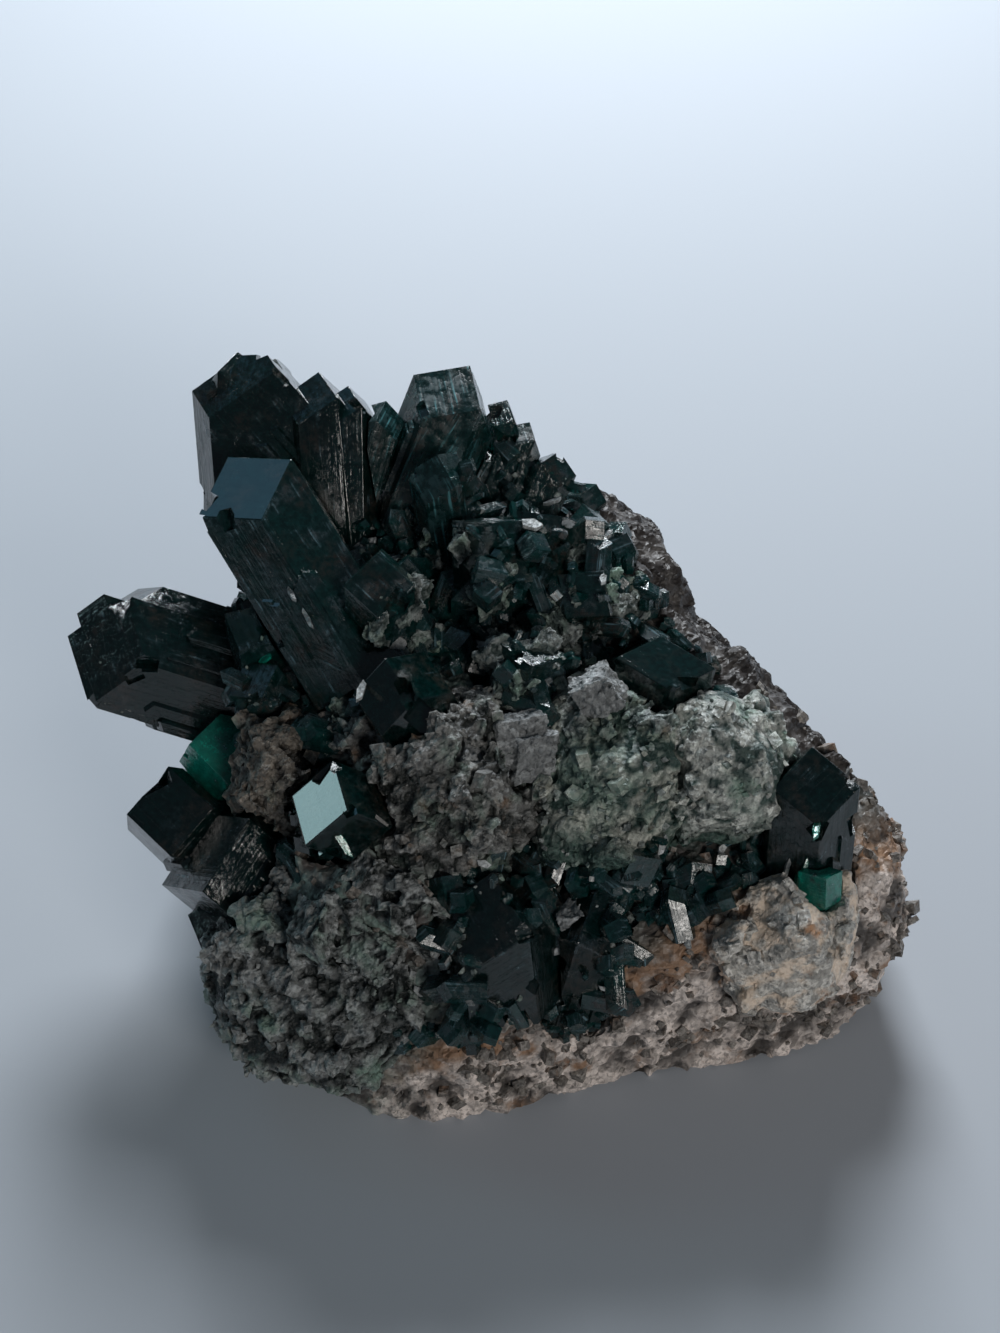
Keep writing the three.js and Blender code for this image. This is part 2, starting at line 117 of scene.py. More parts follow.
class CalciteSettings(bpy.types.PropertyGroup):
    voxel: length_property("Voxel", "Grid that the crusts' skin is rebuilt on", 0.2)
    lump: length_property("Lumps", "Height of the lumps", 0.8)
    block: length_property("Blocks", "Size of the largest crystals in a crust", 2.2)
    grain: length_property("Grains", "Size of the small crystals on a crust", 0.7)


class DioptaseSettings(bpy.types.PropertyGroup):
    bevel: length_property("Bevel", "Wear along the edges", 0.07)
    companions: IntProperty(name="Companions", description="Small prisms beside each crystal", default=8)
    chips: IntProperty(name="Chips", description="Broken spots on the edges of each group", default=14)
    green: colour_property("Green", "Colour of the crystal's body", (0.003, 0.03, 0.028))
    emerald: colour_property("Emerald", "Colour of the brightest crystals", (0.01, 0.3, 0.22))
    dust: colour_property("Dust", "Film on old faces", (0.05, 0.09, 0.105))
    absorption: FloatProperty(name="Absorption", description="Light lost per metre", default=1500)


class StageSettings(bpy.types.PropertyGroup):
    distance: length_property("Distance", "From the camera to the middle of the slope", 132)
    floor: colour_property("Floor", "Colour of the floor", (0.46, 0.49, 0.53))
    sky: colour_property("Sky", "Colour of the soft light", (0.62, 0.8, 1.0))


SETTINGS = {
    "specimen_rock": RockSettings,
    "specimen_calcite": CalciteSettings,
    "specimen_dioptase": DioptaseSettings,
    "specimen_stage": StageSettings,
}


# ---- Selecting and shaping ----
def only(piece):
    """Selects one object and makes it active."""
    bpy.ops.object.select_all(action="DESELECT")
    piece.select_set(True)
    bpy.context.view_layer.objects.active = piece


def edit(piece, *steps):
    """Runs steps on all of a piece in edit mode."""
    only(piece)
    bpy.ops.object.mode_set(mode="EDIT")
    for step in steps:
        bpy.ops.mesh.select_all(action="SELECT")
        step()
    bpy.ops.object.mode_set(mode="OBJECT")


def finish_with(piece, kind, **settings):
    """Puts a modifier on a piece and applies it."""
    only(piece)
    modifier = piece.modifiers.new(kind.title(), kind)
    for name, value in settings.items():
        setattr(modifier, name, value)
    bpy.ops.object.modifier_apply(modifier=modifier.name)


def join(pieces, name):
    bpy.ops.object.select_all(action="DESELECT")
    for piece in pieces:
        piece.select_set(True)
    bpy.context.view_layer.objects.active = pieces[0]
    if len(pieces) > 1:
        bpy.ops.object.join()
    pieces[0].name = name
    return pieces[0]


def duplicate(piece, name):
    """A copy of an object, with a mesh of its own."""
    copy = bpy.data.objects.new(name, piece.data.copy())
    bpy.context.collection.objects.link(copy)
    return copy


def copy_of(node, name):
    """A merged copy of a CAD node, with flat faces in one piece."""
    piece = duplicate(frame["nodes"][node], name)
    piece.data.materials.clear()
    edit(
        piece,
        lambda: bpy.ops.mesh.remove_doubles(threshold=0.002 * MM),
        lambda: bpy.ops.mesh.dissolve_limited(angle_limit=math.radians(0.6)),
        lambda: bpy.ops.mesh.normals_make_consistent(inside=False),
    )
    return piece


def drop(*pieces):
    for piece in pieces:
        bpy.data.objects.remove(piece)


def seated(piece, slot, *nodes):
    """Hangs a finished piece on the body and hides the CAD nodes that it replaces."""
    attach(piece, BODY)
    if nodes:
        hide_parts(*nodes)


def points_of(piece):
    points = np.empty(len(piece.data.vertices) * 3)
    piece.data.vertices.foreach_get("co", points)
    return points.reshape(-1, 3)


def normals_of(piece):
    return np.array([v.normal for v in piece.data.vertices])


def on_slope(points):
    """Across, uphill and outwards of points, in millimetres."""
    frame_rows = np.array([ACROSS, UPHILL, OUTWARDS])
    return (points - np.array(SLOPE_MIDDLE)) @ frame_rows.T / MM


def zone(across, uphill, left, right, foot, top):
    """Which points lie in a box on the slope, in millimetres."""
    return (across > left) & (across < right) & (uphill > foot) & (uphill < top)


def patchy(points, size):
    """Soft random patches over points, from 0 to 1."""
    return np.array([noise.noise(Vector(point) / (size * MM)) for point in points]) * 0.5 + 0.5


def keep_above_floor(piece):
    """Flattens what bulged below the base."""
    points = points_of(piece)
    points[:, 2] = np.maximum(points[:, 2], 0)
    piece.data.vertices.foreach_set("co", points.ravel())
    piece.data.update()


# ---- Lumps: displacement by made-up textures ----
def raise_lumps(piece, kind, size, height):
    """Displaces a piece by cells, soft clouds or creased billows."""
    texture = bpy.data.textures.new(f"{kind.lower()} {size:g} mm", "VORONOI" if kind == "CELLS" else "CLOUDS")
    texture.noise_scale = size * MM
    if kind == "BILLOWS":
        texture.noise_type = "HARD_NOISE"
        texture.noise_depth = 3
    finish_with(
        piece, "DISPLACE", texture=texture, texture_coords="LOCAL", strength=height, mid_level=0.5
    )


def grow_out(piece, distance):
    finish_with(piece, "DISPLACE", strength=distance, mid_level=0)


def set_values(piece, name, values):
    """Keeps a number on each point of a piece, for scattering or for its material."""
    layer = piece.data.attributes.get(name) or piece.data.attributes.new(name, "FLOAT", "POINT")
    layer.data.foreach_set("value", np.asarray(values, dtype=np.float32))


def roughen(piece, *steps):
    """Raises lumps in steps of kind, size and height, and keeps how far up each point went as "height"."""
    before = points_of(piece)
    normals = normals_of(piece)
    for kind, size, height in steps:
        raise_lumps(piece, kind, size, height)
    risen = ((points_of(piece) - before) * normals).sum(axis=1)
    low, high = np.percentile(risen, (4, 96))
    set_values(piece, "height", np.clip((risen - low) / (high - low), 0, 1))


def rebuild_skin(piece, voxel):
    finish_with(piece, "REMESH", mode="VOXEL", voxel_size=voxel, adaptivity=0)


# ---- Small crystals to scatter ----
def dioptase_prism(name, width, length, reach=None):
    """A six-sided prism along +Z with three end faces over alternate edges, and its tip at height reach."""
    reach = length if reach is None else reach
    bpy.ops.object.select_all(action="DESELECT")
    radius = width / 2 / math.cos(math.pi / 6)
    bpy.ops.mesh.primitive_cylinder_add(
        vertices=6, radius=radius, depth=length, location=(0, 0, reach - length / 2)
    )
    prism = bpy.context.object
    prism.name = name
    bpy.ops.object.transform_apply(location=True, rotation=True, scale=True)

    def cut(turn):
        flat = math.sin(TIP_FACE_TILT)
        normal = (math.cos(turn) * flat, math.sin(turn) * flat, math.cos(TIP_FACE_TILT))
        bpy.ops.mesh.bisect(plane_co=(0, 0, reach), plane_no=normal, use_fill=True, clear_outer=True)

    edit(prism, *[lambda turn=turn: cut(math.radians(turn)) for turn in (90, 210, 330)])
    return prism


def calcite_rhomb(name, size, flatness=1.0, corner_cut=None):
    """A calcite rhomb standing on one corner, with its middle at the origin and perhaps a broken corner."""
    bpy.ops.object.select_all(action="DESELECT")
    bpy.ops.mesh.primitive_cube_add(size=size)
    rhomb = bpy.context.object
    rhomb.name = name
    to_corner = Vector((1, 1, 1)).rotation_difference(Vector((0, 0, 1)))
    rhomb.scale = (1, 1, flatness)
    bpy.ops.object.transform_apply(location=False, rotation=False, scale=True)
    rhomb.rotation_euler = to_corner.to_euler()
    bpy.ops.object.transform_apply(location=False, rotation=True, scale=False)
    rhomb.scale = (1, 1, RHOMB_SQUASH)
    bpy.ops.object.transform_apply(location=False, rotation=False, scale=True)
    if corner_cut:
        normal = Vector(corner_cut).normalized()
        edit(
            rhomb,
            lambda: bpy.ops.mesh.bisect(
                plane_co=normal * size * 0.42, plane_no=normal, use_fill=True, clear_outer=True
            ),
        )
    return rhomb


def shapes_collection(name, shapes):
    """Moves shapes to scatter into a collection of their own."""
    collection = bpy.data.collections.new(name)
    bpy.context.scene.collection.children.link(collection)
    for shape in shapes:
        for holder in list(shape.users_collection):
            holder.objects.unlink(shape)
        collection.objects.link(shape)
    return collection


def calcite_grains():
    unit = 1 * MM
    shapes = [
        calcite_rhomb("grain rhomb", unit),
        calcite_rhomb("grain plate", unit, flatness=0.55),
        calcite_rhomb("grain broken", unit, corner_cut=(1, 0.2, 0.5)),
        calcite_rhomb("grain chipped", unit, flatness=0.8, corner_cut=(-0.4, 1, 0.7)),
    ]
    for shape in shapes:
        set_values(shape, "height", [1] * len(shape.data.vertices))
    return shapes_collection("calcite grains", shapes)


def green_seeds():
    unit = 1 * MM
    return shapes_collection(
        "green seeds",
        [
            dioptase_prism("seed short", unit, 1.5 * unit, 0.7 * unit),
            dioptase_prism("seed tall", unit, 2.1 * unit, 1.3 * unit),
            dioptase_prism("seed slender", 0.7 * unit, 2.1 * unit, 1.3 * unit),
        ],
    )


def clear_collection(collection):
    drop(*list(collection.objects))
    bpy.data.collections.remove(collection)


# ---- Node trees ----
def add(tree, kind, inputs=None, **settings):
    """Adds a node. An input given as a socket is linked, and any other is set."""
    node = tree.nodes.new(kind)
    for name, value in settings.items():
        setattr(node, name, value)
    for name, value in (inputs or {}).items():
        socket = node.inputs[name]
        if isinstance(value, bpy.types.NodeSocket):
            tree.links.new(value, socket)
        else:
            socket.default_value = value
    return node


def calc(tree, operation, *values):
    """The result of a math node. Each value is a socket or a number."""
    return add(tree, "ShaderNodeMath", dict(enumerate(values)), operation=operation).outputs[0]


def scatter_tree(name, collection, density, size, tilt, seed, keep_ground):
    """Geometry nodes that scatter shapes over a surface where its attribute "share" is high."""
    tree = bpy.data.node_groups.new(name, "GeometryNodeTree")
    tree.interface.new_socket("Geometry", in_out="INPUT", socket_type="NodeSocketGeometry")
    tree.interface.new_socket("Geometry", in_out="OUTPUT", socket_type="NodeSocketGeometry")
    ground = add(tree, "NodeGroupInput").outputs[0]
    share = add(tree, "GeometryNodeInputNamedAttribute", {"Name": "share"}, data_type="FLOAT")
    spread = add(
        tree,
        "GeometryNodeDistributePointsOnFaces",
        {
            "Mesh": ground,
            "Distance Min": size[0] * 0.6,
            "Density Max": density / MM**2,
            "Density Factor": share.outputs["Attribute"],
            "Seed": seed,
        },
        distribute_method="POISSON",
    )
    shapes = add(
        tree,
        "GeometryNodeCollectionInfo",
        {"Collection": collection, "Separate Children": True, "Reset Children": True},
    )
    chance = add(tree, "FunctionNodeRandomValue", {"Seed": seed + 1}, data_type="FLOAT")
    mostly_small = calc(tree, "POWER", chance.outputs[1], 2.2)
    scale = add(
        tree,
        "ShaderNodeMapRange",
        {"Value": mostly_small, "To Min": size[0] / MM, "To Max": size[1] / MM},
    )
    lean = add(
        tree,
        "FunctionNodeRandomValue",
        {0: (-tilt, -tilt, -math.pi), 1: (tilt, tilt, math.pi), "Seed": seed + 2},
        data_type="FLOAT_VECTOR",
    )
    turned = add(tree, "FunctionNodeEulerToRotation", {0: lean.outputs[0]})
    rotation = add(
        tree,
        "FunctionNodeRotateRotation",
        {0: spread.outputs["Rotation"], 1: turned.outputs[0]},
        rotation_space="LOCAL",
    )
    placed = add(
        tree,
        "GeometryNodeInstanceOnPoints",
        {
            "Points": spread.outputs["Points"],
            "Instance": shapes.outputs[0],
            "Pick Instance": True,
            "Rotation": rotation.outputs[0],
            "Scale": scale.outputs["Result"],
        },
    )
    real = add(tree, "GeometryNodeRealizeInstances", {"Geometry": placed.outputs[0]})
    result = real.outputs[0]
    if keep_ground:
        both = add(tree, "GeometryNodeJoinGeometry")
        tree.links.new(ground, both.inputs[0])
        tree.links.new(result, both.inputs[0])
        result = both.outputs[0]
    tree.links.new(result, add(tree, "NodeGroupOutput").inputs[0])
    return tree


def scatter(ground, name, collection, density, size, tilt, seed, keep_ground=False):
    """A new piece of shapes scattered over the ground piece, or the ground with them on it."""
    piece = ground if keep_ground else duplicate(ground, name)
    tree = scatter_tree(name, collection, density, size, tilt, seed, keep_ground)
    finish_with(piece, "NODES", node_group=tree)
    bpy.data.node_groups.remove(tree)
    return piece


# ---- What is bare and what is covered ----
def solids(nodes):
    return [frame["nodes"][node] for node in nodes]


def skin_of(pieces):
    """A search tree over the faces of pieces or solids."""
    corners, faces, first = [], [], 0
    for piece in pieces:
        corners.append(points_of(piece))
        faces += [[first + i for i in polygon.vertices] for polygon in piece.data.polygons]
        first += len(corners[-1])
    return BVHTree.FromPolygons([Vector(p) for p in np.concatenate(corners)], faces)


def crusts():
    return [bpy.data.objects[node.replace("calcite_", "")] for node in CRUST_NODES]


def open_air(piece, skin, reach):
    """For each point, 1 where nothing of the skin lies close in front of it or around it, else 0."""
    mesh = piece.data
    result = np.ones(len(mesh.vertices))
    for i, vertex in enumerate(mesh.vertices):
        near, facing, _, _ = skin.find_nearest(vertex.co, reach)
        if near is None:
            continue
        inside = (vertex.co - near).dot(facing) < 0
        blocked = skin.ray_cast(vertex.co + vertex.normal * LIFT, vertex.normal, reach)[0]
        if inside or blocked is not None:
            result[i] = 0
    return result


# ---- Face maps ----
def map_faces(piece):
    """A UV map in millimetres on each flat face, with V along its longest edge."""
    mesh = piece.data
    layer = mesh.uv_layers.get("faces") or mesh.uv_layers.new(name="faces")
    for polygon in mesh.polygons:
        corners = [mesh.vertices[i].co for i in polygon.vertices]
        edges = [b - a for a, b in zip(corners, corners[1:] + corners[:1])]
        along = max(edges, key=lambda edge: edge.length).normalized()
        across = polygon.normal.cross(along)
        for loop, corner in zip(polygon.loop_indices, corners):
            layer.data[loop].uv = (corner.dot(across) / MM, corner.dot(along) / MM)


# ---- Materials ----
def coat(piece, look):
    """Gives a piece one material."""
    piece.data.materials.clear()
    piece.data.materials.append(look)


def scaled(colour, factor):
    return tuple(c * factor for c in colour)


def new_material(name, inputs):
    """A material with a few plain values, its tree, its shader and its output."""
    material = bpy.data.materials.new(name)
    material.use_nodes = True
    tree = material.node_tree
    tree.nodes.clear()
    output = add(tree, "ShaderNodeOutputMaterial")
    shader = add(tree, "ShaderNodeBsdfPrincipled", inputs)
    tree.links.new(shader.outputs[0], output.inputs["Surface"])
    return material, tree, shader, output


def patches_group():
    """Soft patches from 0 to 1: noise of a given size, with a threshold and a soft edge."""
    tree = bpy.data.node_groups.new("Patches", "ShaderNodeTree")
    tree.interface.new_socket("Vector", in_out="INPUT", socket_type="NodeSocketVector")
    for label in ("Size", "Threshold", "Softness"):
        tree.interface.new_socket(label, in_out="INPUT", socket_type="NodeSocketFloat")
    tree.interface.new_socket("Mask", in_out="OUTPUT", socket_type="NodeSocketFloat")
    start, end = add(tree, "NodeGroupInput"), add(tree, "NodeGroupOutput")
    size, threshold, softness = (start.outputs[label] for label in ("Size", "Threshold", "Softness"))
    scale = calc(tree, "DIVIDE", 1.0, size)
    cloud = add(
        tree,
        "ShaderNodeTexNoise",
        {"Vector": start.outputs["Vector"], "Scale": scale, "Detail": 5, "Roughness": 0.6},
    )
    low = calc(tree, "SUBTRACT", threshold, softness)
    high = calc(tree, "ADD", threshold, softness)
    mask = add(
        tree,
        "ShaderNodeMapRange",
        {"Value": cloud.outputs["Fac"], "From Min": low, "From Max": high},
        interpolation_type="SMOOTHSTEP",
    )
    tree.links.new(mask.outputs["Result"], end.inputs["Mask"])
    return tree


def patches(tree, vector, size, threshold, softness):
    group = bpy.data.node_groups.get("Patches") or patches_group()
    inputs = {"Vector": vector, "Size": size, "Threshold": threshold, "Softness": softness}
    return add(tree, "ShaderNodeGroup", inputs, node_tree=group).outputs["Mask"]


def mix(tree, share, first, second):
    """A colour between two others."""
    first, second = (c if isinstance(c, bpy.types.NodeSocket) else (*c, 1) for c in (first, second))
    return add(tree, "ShaderNodeMix", {0: share, 6: first, 7: second}, data_type="RGBA").outputs[2]


def spread_to(tree, value, low, high, from_low=0.0, from_high=1.0):
    """A value stretched to another range."""
    return add(
        tree,
        "ShaderNodeMapRange",
        {"Value": value, "From Min": from_low, "From Max": from_high, "To Min": low, "To Max": high},
    ).outputs["Result"]


def bump(tree, height, distance, strength=1.0, under=None):
    inputs = {"Height": height, "Distance": distance, "Strength": strength}
    if under is not None:
        inputs["Normal"] = under
    return add(tree, "ShaderNodeBump", inputs).outputs[0]


def dioptase_material(name, body, dust, dustiness, roughness, absorption, relief=1.0):
    """Deep green crystal: striated along its faces, filmed with dust in patches, dark where it is thick."""
    clear = {"Metallic": 0.0, "IOR": 1.66, "Transmission Weight": 0.6}
    material, tree, shader, output = new_material(name, clear)
    place = add(tree, "ShaderNodeTexCoord").outputs["Object"]
    face = add(tree, "ShaderNodeUVMap", uv_map="faces").outputs[0]
    lines_place = add(tree, "ShaderNodeMapping", {"Vector": face, "Scale": (5, 0.22, 1)}).outputs[0]
    lines = add(tree, "ShaderNodeTexNoise", {"Vector": lines_place, "Scale": 1.0, "Detail": 3}).outputs["Fac"]
    steps_place = add(tree, "ShaderNodeMapping", {"Vector": face, "Scale": (1.3, 0.12, 1)}).outputs[0]
    steps = add(tree, "ShaderNodeTexVoronoi", {"Vector": steps_place, "Scale": 1.0}, feature="F1")
    step = add(tree, "ShaderNodeSeparateColor", {"Color": steps.outputs["Color"]}).outputs[0]
    film = patches(tree, place, 1.6 * MM, dustiness, 0.12)
    veil = patches(tree, place, 0.4 * MM, 0.5, 0.14)
    film_lines = calc(tree, "MULTIPLY", film, lines)
    speckle = calc(tree, "MULTIPLY_ADD", film_lines, veil, film_lines)
    brown = patches(tree, place, 2.7 * MM, 0.56, 0.1)
    colour = mix(tree, speckle, mix(tree, veil, body, scaled(body, 2)), dust)
    colour = mix(tree, calc(tree, "MULTIPLY", brown, veil), colour, (0.05, 0.042, 0.034))
    streaks = spread_to(tree, lines, 0.0, 1.0, 0.58, 0.66)
    colour = mix(tree, calc(tree, "MULTIPLY", streaks, film), colour, scaled(dust, 6))
    tree.links.new(colour, shader.inputs["Base Color"])
    rough = spread_to(tree, speckle, roughness, roughness + 0.3)
    tree.links.new(rough, shader.inputs["Roughness"])
    waves = add(tree, "ShaderNodeTexNoise", {"Vector": place, "Scale": 1 / (1.8 * MM), "Detail": 2})
    normal = bump(tree, step, 0.12 * MM, 0.6 * relief)
    normal = bump(tree, lines, 0.06 * MM, 0.6 * relief, under=normal)
    normal = bump(tree, waves.outputs["Fac"], 0.2 * MM, 0.5 * relief, under=normal)
    normal = bump(tree, veil, 0.015 * MM, 0.6 * relief, under=normal)
    tree.links.new(normal, shader.inputs["Normal"])
    depth = {"Color": (0.02, 0.66, 0.6, 1), "Density": absorption}
    tree.links.new(add(tree, "ShaderNodeVolumeAbsorption", depth).outputs[0], output.inputs["Volume"])
    return material


def cells(tree, place, size):
    """Grains of a size: Distance runs out from each one's middle, and Color is random for each."""
    return add(tree, "ShaderNodeTexVoronoi", {"Vector": place, "Scale": 1 / size}).outputs


def crystal_grains(tree, place, size):
    """A random number from 0 to 1 for each grain of rock."""
    return add(tree, "ShaderNodeSeparateColor", {"Color": cells(tree, place, size)["Color"]}).outputs[0]


def grain_facets(tree, place, size, tilt):
    """Surface directions that differ from grain to grain, so that some grains catch the light."""
    tint = cells(tree, place, size)["Color"]
    lean = add(tree, "ShaderNodeVectorMath", {0: tint, 1: (0.5, 0.5, 0.5)}, operation="SUBTRACT").outputs[0]
    smooth = add(tree, "ShaderNodeNewGeometry").outputs["Normal"]
    tilted = add(tree, "ShaderNodeVectorMath", {0: lean, 1: (tilt,) * 3, 2: smooth}, operation="MULTIPLY_ADD")
    return add(tree, "ShaderNodeVectorMath", {0: tilted.outputs[0]}, operation="NORMALIZE").outputs[0]


def height_share(tree, low, high):
    """From 0 in the pits of a piece to 1 on its lumps."""
    height = add(tree, "ShaderNodeAttribute", attribute_name="height").outputs["Fac"]
    return spread_to(tree, height, 0.0, 1.0, low, high)


def along(tree, place, direction, start, end):
    """From 0 to 1 between two distances in mm along a direction, with an uneven edge."""
    away = add(tree, "ShaderNodeVectorMath", {0: place, 1: tuple(direction)}, operation="DOT_PRODUCT")
    cloud = add(tree, "ShaderNodeTexNoise", {"Vector": place, "Scale": 1 / (4 * MM), "Detail": 4})
    wander = 3  # mm that the edge strays to either side
    shifted = calc(tree, "MULTIPLY_ADD", cloud.outputs["Fac"], 2 * wander * MM, away.outputs["Value"])
    return spread_to(tree, shifted, 0.0, 1.0, (start + wander) * MM, (end + wander) * MM)


def calcite_material(name, pale, dark, stain, staining, greening, painted_shade_line=None):
    """Rough calcite: pale crystals with painted shade in the pits between them, stained in patches, and
    painted dark teal shade below a line across the slope.
    """
    soft = {"Subsurface Weight": 0.12, "Subsurface Radius": (1, 1, 0.9), "Subsurface Scale": 0.6 * MM}
    material, tree, shader, _ = new_material(name, soft)
    place = add(tree, "ShaderNodeTexCoord").outputs["Object"]
    cloud = patches(tree, place, 2.4 * MM, 0.5, 0.25)
    fine = patches(tree, place, 0.35 * MM, 0.5, 0.2)
    raised = height_share(tree, 0.2, 0.6)
    body = mix(tree, crystal_grains(tree, place, 0.5 * MM), scaled(pale, 0.35), pale)
    body = mix(tree, patches(tree, place, 0.28 * MM, 0.45, 0.1), scaled(pale, 0.3), body)
    body = mix(tree, cloud, mix(tree, fine, scaled(pale, 0.25), body), body)
    body = mix(tree, patches(tree, place, 3.1 * MM, greening, 0.14), body, (0.2, 0.3, 0.24))
    body = mix(tree, patches(tree, place, 2.2 * MM, staining, 0.1), body, stain)
    # painted shade: the pits take the dark colour and the lumps the crystal colour
    colour = mix(tree, raised, dark, body)
    # painted shade: below this line across the slope the colour turns dark teal; foot holds the painted shade
    # colour
    if painted_shade_line is not None:
        line = UPHILL.dot(SLOPE_MIDDLE) / MM + painted_shade_line
        foot = mix(tree, fine, (0.015, 0.035, 0.03), (0.09, 0.15, 0.125))
        colour = mix(tree, along(tree, place, UPHILL, line - 1, line + 1), foot, colour)
    tree.links.new(colour, shader.inputs["Base Color"])
    tree.links.new(spread_to(tree, fine, 0.6, 0.26), shader.inputs["Roughness"])
    grain = cells(tree, place, 0.3 * MM)["Distance"]
    facets = bump(tree, grain, 0.12 * MM, 0.8, under=grain_facets(tree, place, 0.4 * MM, 0.9))
    tree.links.new(bump(tree, fine, 0.08 * MM, 0.7, under=facets), shader.inputs["Normal"])
    return material


def rock_material(settings):
    """Broken rock: pale and granular in front, brown at the back, rusty along the edge of the slope, with
    painted shade in its pits.
    """
    material, tree, shader, _ = new_material("host rock", {"Roughness": 0.5})
    place = add(tree, "ShaderNodeTexCoord").outputs["Object"]
    fine = patches(tree, place, 0.5 * MM, 0.5, 0.2)
    cloud = patches(tree, place, 3 * MM, 0.5, 0.2)
    raised = height_share(tree, 0.1, 0.5)
    pale = tuple(settings.pale)
    body = mix(tree, crystal_grains(tree, place, 0.8 * MM), scaled(pale, 0.3), pale)
    body = mix(tree, cloud, body, mix(tree, fine, scaled(pale, 0.6), pale))
    body = mix(tree, patches(tree, place, 0.3 * MM, 0.45, 0.08), scaled(pale, 0.35), body)
    body = mix(tree, patches(tree, place, 2.6 * MM, 0.6, 0.08), body, tuple(settings.rust))
    brown = mix(tree, fine, scaled(settings.brown, 0.5), tuple(settings.brown))
    shade = mix(tree, fine, (0.03, 0.05, 0.045), (0.12, 0.13, 0.12))
    up_slope = UPHILL - EDGE_RISE * ACROSS
    edge = up_slope.dot(SLOPE_MIDDLE) / MM + EDGE_FOOT
    seam = mix(tree, patches(tree, place, 1.7 * MM, 0.42, 0.1), body, tuple(settings.rust))
    body = mix(tree, along(tree, place, up_slope, edge - 3.5, edge - 2.5), body, seam)
    body = mix(tree, along(tree, place, up_slope, edge - 1.5, edge + 1.5), body, shade)
    grey = mix(tree, fine, (0.07, 0.08, 0.075), mix(tree, cloud, (0.3, 0.32, 0.31), (0.2, 0.31, 0.27)))
    body = mix(tree, along(tree, place, (-1, 0, 0.35), 5.0, 8.5), body, grey)
    body = mix(tree, along(tree, place, (0.1, 1, 0.15), -3.0, 2.0), body, brown)
    # painted shade: the pits are darkened to a small share of the pale colour
    colour = mix(tree, raised, scaled(pale, 0.08), body)
    tree.links.new(colour, shader.inputs["Base Color"])
    grain = cells(tree, place, 0.35 * MM)["Distance"]
    facets = grain_facets(tree, place, 0.5 * MM, 0.8)
    tree.links.new(bump(tree, grain, 0.08 * MM, 0.7, under=facets), shader.inputs["Normal"])
    return material


# ---- Operators ----
class SPECIMEN_OT_host_rock(bpy.types.Operator):
    """Rebuild the host rock as a rough, granular broken block"""

    bl_idname = "specimen.host_rock"
    bl_label = "Host rock"

    def execute(self, context):
        settings = context.scene.specimen_rock
        rock = copy_of("matrix", "host_rock")
        rebuild_skin(rock, settings.voxel)
        grow_out(rock, settings.growth)
        lump, grain = settings.lump, settings.grain
        roughen(
            rock,
            ("BILLOWS", 5.0, lump * 1.3),
            ("CELLS", 2.6, -lump * 0.8),
            ("CLOUDS", 1.5, lump * 0.6),
            ("BILLOWS", 1.2, grain * 1.6),
            ("CLOUDS", 0.5, grain),
        )
        keep_above_floor(rock)
        coat(rock, rock_material(settings))
        seated(rock, "host_rock", "matrix")
        return {"FINISHED"}


CRUST_LOOKS = {
    # crust: pale colour, pit colour painted as shade, stain colour, thresholds of the staining and the
    # greening, line in mm uphill below which dark teal shade is painted, and share of the lumps' height
    "front_left": ((0.48, 0.5, 0.49), (0.012, 0.016, 0.015), (0.12, 0.08, 0.05), 0.72, 0.6, None, 1.3),
    "centre": ((0.4, 0.4, 0.38), (0.015, 0.018, 0.016), (0.16, 0.1, 0.06), 0.64, 0.62, -13, 1.1),
    "green": ((0.8, 0.82, 0.72), (0.03, 0.06, 0.05), (0.2, 0.17, 0.1), 0.72, 0.56, -11, 0.42),
    "right": ((0.98, 1.0, 0.92), (0.05, 0.08, 0.07), (0.2, 0.17, 0.1), 0.75, 0.62, -10.5, 0.34),
    "cream": ((1.0, 0.96, 0.88), (0.85, 0.7, 0.56), (0.55, 0.28, 0.13), 0.67, 0.9, None, 0.4),
    "left": ((0.34, 0.3, 0.25), (0.02, 0.018, 0.015), (0.13, 0.08, 0.05), 0.6, 0.7, None, 1.2),
}


class SPECIMEN_OT_crusts(bpy.types.Operator):
    """Grow the calcite crusts from blocks, lumps and small crystals"""

    bl_idname = "specimen.crusts"
    bl_label = "Calcite crusts"

    def execute(self, context):
        settings = context.scene.specimen_calcite
        grains = calcite_grains()
        crystals = skin_of(solids(CRYSTAL_NODES))
        for seed, node in enumerate(CRUST_NODES, start=10):
            crust = copy_of(node, node.replace("calcite_", ""))
            rebuild_skin(crust, 0.4 * MM)
            set_values(crust, "share", open_air(crust, crystals, 0.8 * MM))
            sizes = (settings.block * 0.4, settings.block)
            scatter(crust, "blocks", grains, 0.12, sizes, math.pi, seed, keep_ground=True)
            rebuild_skin(crust, settings.voxel)
            grow_out(crust, 0.25 * MM)
            *look, unevenness = CRUST_LOOKS[node.removeprefix("calcite_crust_")]
            lump = settings.lump * unevenness
            roughen(
                crust,
                ("CLOUDS", 2.6, lump),
                ("BILLOWS", 1.6, lump * 1.3),
                ("CLOUDS", 0.45, lump * 0.3),
            )
            keep_above_floor(crust)
            set_values(crust, "share", open_air(crust, crystals, 0.4 * MM))
            sizes = (settings.grain * 0.4, settings.grain * 1.5)
            small = scatter(crust, "grains", grains, 0.25, sizes, math.pi, seed + 40)
            crust = join([crust, small], crust.name)
            coat(crust, calcite_material(crust.name, *look))
            seated(crust, "calcite", node)
        clear_collection(grains)
        return {"FINISHED"}


